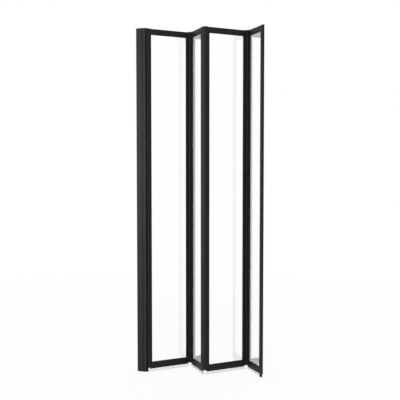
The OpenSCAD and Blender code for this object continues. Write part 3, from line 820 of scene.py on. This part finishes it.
class BATHSCREEN_OT_screws(bpy.types.Operator):
    """Makes the frame, pivot and adjusting screws, with cross recesses"""

    bl_idname = "bathscreen.screws"
    bl_label = "Make the screws"

    # Turns a screw's head from +Z to +Y
    facing_back = Matrix.Rotation(-pi / 2, 4, "X")

    def execute(self, context):
        for leaf in LEAVES:
            self.make_frame_screws(leaf)
        self.make_pivot_screws()
        self.make_adjusting_screws()
        return {"FINISHED"}

    def add_countersunk(self, bm, place):
        """Adds a countersunk screw with a low domed head"""
        size = sizes()
        head = size.frame_screw
        rise = size.frame_screw_rise
        shank = size.frame_screw_shank
        flat_top = 0.6 * head
        shoulder = 0.85 * head
        shoulder_rise = 0.6 * rise
        recess = 0.9 * rise
        outline = ((flat_top, rise), (shoulder, shoulder_rise), (head, 0.0),
                   (shank, -size.frame_screw_sink), (shank, -size.frame_screw_length))
        turned_screw(bm, place @ self.facing_back, outline, recess)

    def make_frame_screws(self, leaf):
        size = sizes()
        node = "leaf_%d_frame_screws" % leaf
        low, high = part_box(node)
        length = leaf_length(leaf)
        stile = size.stile_screw
        rail = size.rail_screw
        bm = bmesh.new()
        for x in (stile, rail, length - rail, length - stile):
            for z in (low.z + size.frame_screw, high.z - size.frame_screw):
                self.add_countersunk(bm, Matrix.Translation((x, size.frame_depth / 2, z)))
        finished_piece(bm, node + "_crossheads", "leaf_%d" % leaf, "steel", node, leaf_place(leaf))

    def make_pivot_screws(self):
        low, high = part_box("pivot_screws")
        head = sizes().frame_screw
        bm = bmesh.new()
        for z in (low.z + head, high.z - head):
            self.add_countersunk(bm, Matrix.Translation(((low.x + high.x) / 2, high.y, z)))
        finished_piece(bm, "pivot_crossheads", "wall_side", "steel", "pivot_screws")

    def make_adjusting_screws(self):
        size = sizes()
        low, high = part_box("adjusting_screws")
        head = size.adjuster
        shank = size.adjuster_shank
        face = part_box("wall_channel")[1].y
        rise = high.y - face
        flat_top = 0.55 * head
        shoulder = 0.85 * head
        shoulder_rise = 0.8 * rise
        side_rise = 0.4 * rise
        recess = 0.7 * rise
        outline = ((flat_top, rise), (shoulder, shoulder_rise), (head, side_rise), (head, 0.0),
                   (shank, 0.0), (shank, low.y - face))
        bm = bmesh.new()
        for z in (low.z + head, (low.z + high.z) / 2, high.z - head):
            place = Matrix.Translation(((low.x + high.x) / 2, face, z)) @ self.facing_back
            turned_screw(bm, place, outline, recess)
        finished_piece(bm, "adjusting_crossheads", "wall_side", "steel", "adjusting_screws")


class BATHSCREEN_OT_foot(bpy.types.Operator):
    """Turns the rubber foot under the free stile"""

    bl_idname = "bathscreen.foot"
    bl_label = "Turn the foot"

    spin_steps = 48
    rim_segments = 5

    def execute(self, context):
        size = sizes()
        low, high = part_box("foot")
        radius = (high.x - low.x) / 2
        height = high.z - low.z
        groove = size.foot_groove
        socket = size.foot_socket
        floor = height - size.foot_socket_depth
        hollow = 0.3 * radius
        ring = 0.5 * radius
        middle = height / 2
        outline = [(0.0, groove), (hollow, groove), (hollow + groove, 0.0),
                   (ring, 0.0), (ring + groove, groove), (ring + 2 * groove, 0.0),
                   (radius, 0.0), (radius, middle - groove), (radius - groove, middle),
                   (radius, middle + groove), (radius, height), (socket, height),
                   (socket, floor), (0.0, floor)]
        bm = bmesh.new()
        verts = [bm.verts.new((x, 0.0, z)) for x, z in outline]
        edges = [bm.edges.new(pair) for pair in zip(verts, verts[1:])]
        bmesh.ops.spin(bm, geom=verts + edges, cent=(0.0, 0.0, 0.0), axis=(0.0, 0.0, 1.0),
                       angle=2 * pi, steps=self.spin_steps, use_merge=True)
        bmesh.ops.remove_doubles(bm, verts=bm.verts, dist=WELD)
        rims = [edge for edge in bm.edges if self.on_rim(edge, radius, (0.0, height))]
        rounded(bm, rims, size.foot_round, self.rim_segments)
        place = Matrix.Translation(((low.x + high.x) / 2, (low.y + high.y) / 2, low.z))
        finished_piece(bm, "foot_pad", "leaf_4", "rubber", "foot", place)
        return {"FINISHED"}

    def on_rim(self, edge, radius, levels):
        """True for an edge that runs round the foot at one of the levels"""
        first, second = (vert.co for vert in edge.verts)
        level = abs(first.z - second.z) < NEAR and min(abs(first.z - z) for z in levels) < NEAR
        return level and all(abs(Vector(co.xy).length - radius) < NEAR for co in (first, second))


class BATHSCREEN_OT_stage(bpy.types.Operator):
    """Sets up the pale floor, the room light, the soft lamp and the camera"""

    bl_idname = "bathscreen.stage"
    bl_label = "Set the stage"

    floor_half = 40.0
    floor_gap = 0.5 * MM
    # The floor fades to white between these distances from its middle
    fade_start = 0.8
    fade_end = 3.0

    def execute(self, context):
        self.make_floor()
        self.light_room()
        self.make_lamp()
        self.make_camera()
        context.scene.view_settings.view_transform = "Standard"
        return {"FINISHED"}

    def seen_rays(self, shader):
        """1 for rays that the camera sees, straight or by way of glass or gloss"""
        rays = shader.node("ShaderNodeLightPath")
        seen = rays["Is Camera Ray"] + rays["Is Glossy Ray"] + rays["Is Transmission Ray"]
        return shader.clamped(seen)

    def make_floor(self):
        bm = bmesh.new()
        bmesh.ops.create_grid(bm, x_segments=1, y_segments=1, size=self.floor_half)
        mesh = bpy.data.meshes.new("studio_floor")
        bm.to_mesh(mesh)
        bm.free()
        floor = bpy.data.objects.new("studio_floor", mesh)
        floor.location.z = CAD_BOX[0].z - self.floor_gap
        bpy.context.scene.collection.objects.link(floor)
        mesh.materials.append(self.floor_finish())

    def floor_finish(self):
        """Plain near the screen, and fading into the white of the room further off"""
        shader = new_shader("studio_floor")
        place = shader.node("ShaderNodeTexCoord")["Object"]
        reach = shader.node("ShaderNodeVectorMath", {"operation": "LENGTH"}, {0: place})["Value"]
        smooth = {"interpolation_type": "SMOOTHSTEP"}
        limits = {"Value": reach, "From Min": self.fade_start, "From Max": self.fade_end}
        fade = shader.node("ShaderNodeMapRange", smooth, limits)["Result"]
        glow = studio().floor_glow
        lift = self.seen_rays(shader) * (glow + (1.0 - glow) * fade)
        paint = shader.node("ShaderNodeBsdfDiffuse", None, {"Color": (*colours().floor, 1.0)})
        white = shader.node("ShaderNodeEmission", None, {"Color": (1.0, 1.0, 1.0, 1.0)})
        return shader.finished(shader.mixed(lift, paint["BSDF"], white["Emission"]))

    def light_room(self):
        world = bpy.data.worlds.new("studio_room")
        bpy.context.scene.world = world
        shader = Shader(world)
        fill = studio().fill
        strength = fill + (1.0 - fill) * self.seen_rays(shader)
        room = shader.node("ShaderNodeBackground", None,
                           {"Color": (1.0, 1.0, 1.0, 1.0), "Strength": strength})
        shader.node("ShaderNodeOutputWorld", None, {"Surface": room["Background"]})

    def make_lamp(self):
        settings = studio()
        light = bpy.data.lights.new("key_lamp", "AREA")
        light.energy = settings.key
        light.shape = "DISK"
        light.size = settings.key_size
        lamp = bpy.data.objects.new("key_lamp", light)
        lamp.location = settings.key_place
        middle = (CAD_BOX[0] + CAD_BOX[1]) / 2
        lamp.rotation_euler = (middle - lamp.location).to_track_quat("-Z", "Y").to_euler()
        bpy.context.scene.collection.objects.link(lamp)

    def make_camera(self):
        settings = studio()
        view = bpy.data.cameras.new("photo_camera")
        view.sensor_width = 36.0
        view.lens = settings.lens
        view.clip_start = 0.01
        view.clip_end = 100.0
        camera = bpy.data.objects.new("photo_camera", view)
        camera.location = settings.camera_place
        camera.rotation_euler = (pi / 2 - settings.camera_dip, 0.0, settings.camera_turn)
        bpy.context.scene.collection.objects.link(camera)
        bpy.context.scene.camera = camera


STEPS = (
    BATHSCREEN_OT_stage,
    BATHSCREEN_OT_coat,
    BATHSCREEN_OT_stiles,
    BATHSCREEN_OT_posts,
    BATHSCREEN_OT_castings,
    BATHSCREEN_OT_mouldings,
    BATHSCREEN_OT_glazing,
    BATHSCREEN_OT_seals,
    BATHSCREEN_OT_screws,
    BATHSCREEN_OT_foot,
)
GROUPS = (BathScreenSizes, BathScreenColours, BathScreenStudio)


class BATHSCREEN_PT_panel(bpy.types.Panel):
    """Lists the steps that dress the screen"""

    bl_idname = "BATHSCREEN_PT_panel"
    bl_label = "Bath screen"
    bl_space_type = "VIEW_3D"
    bl_region_type = "UI"
    bl_category = "Bath screen"

    def draw(self, context):
        for group in (sizes(), colours(), studio()):
            box = self.layout.box()
            for name in group.__annotations__:
                box.prop(group, name)
        for step in STEPS:
            self.layout.operator(step.bl_idname)


CLASSES = (*GROUPS, *STEPS, BATHSCREEN_PT_panel)


def register():
    for item in CLASSES:
        bpy.utils.register_class(item)
    scene = bpy.types.Scene
    scene.bath_screen_sizes = bpy.props.PointerProperty(type=BathScreenSizes)
    scene.bath_screen_colours = bpy.props.PointerProperty(type=BathScreenColours)
    scene.bath_screen_studio = bpy.props.PointerProperty(type=BathScreenStudio)


def unregister():
    scene = bpy.types.Scene
    del scene.bath_screen_studio
    del scene.bath_screen_colours
    del scene.bath_screen_sizes
    for item in reversed(CLASSES):
        bpy.utils.unregister_class(item)


def main():
    """Registers the add-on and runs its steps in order"""
    register()
    make_finishes()
    for step in STEPS:
        family, name = step.bl_idname.split(".")
        getattr(getattr(bpy.ops, family), name)()


if __name__ == "__main__":
    main()
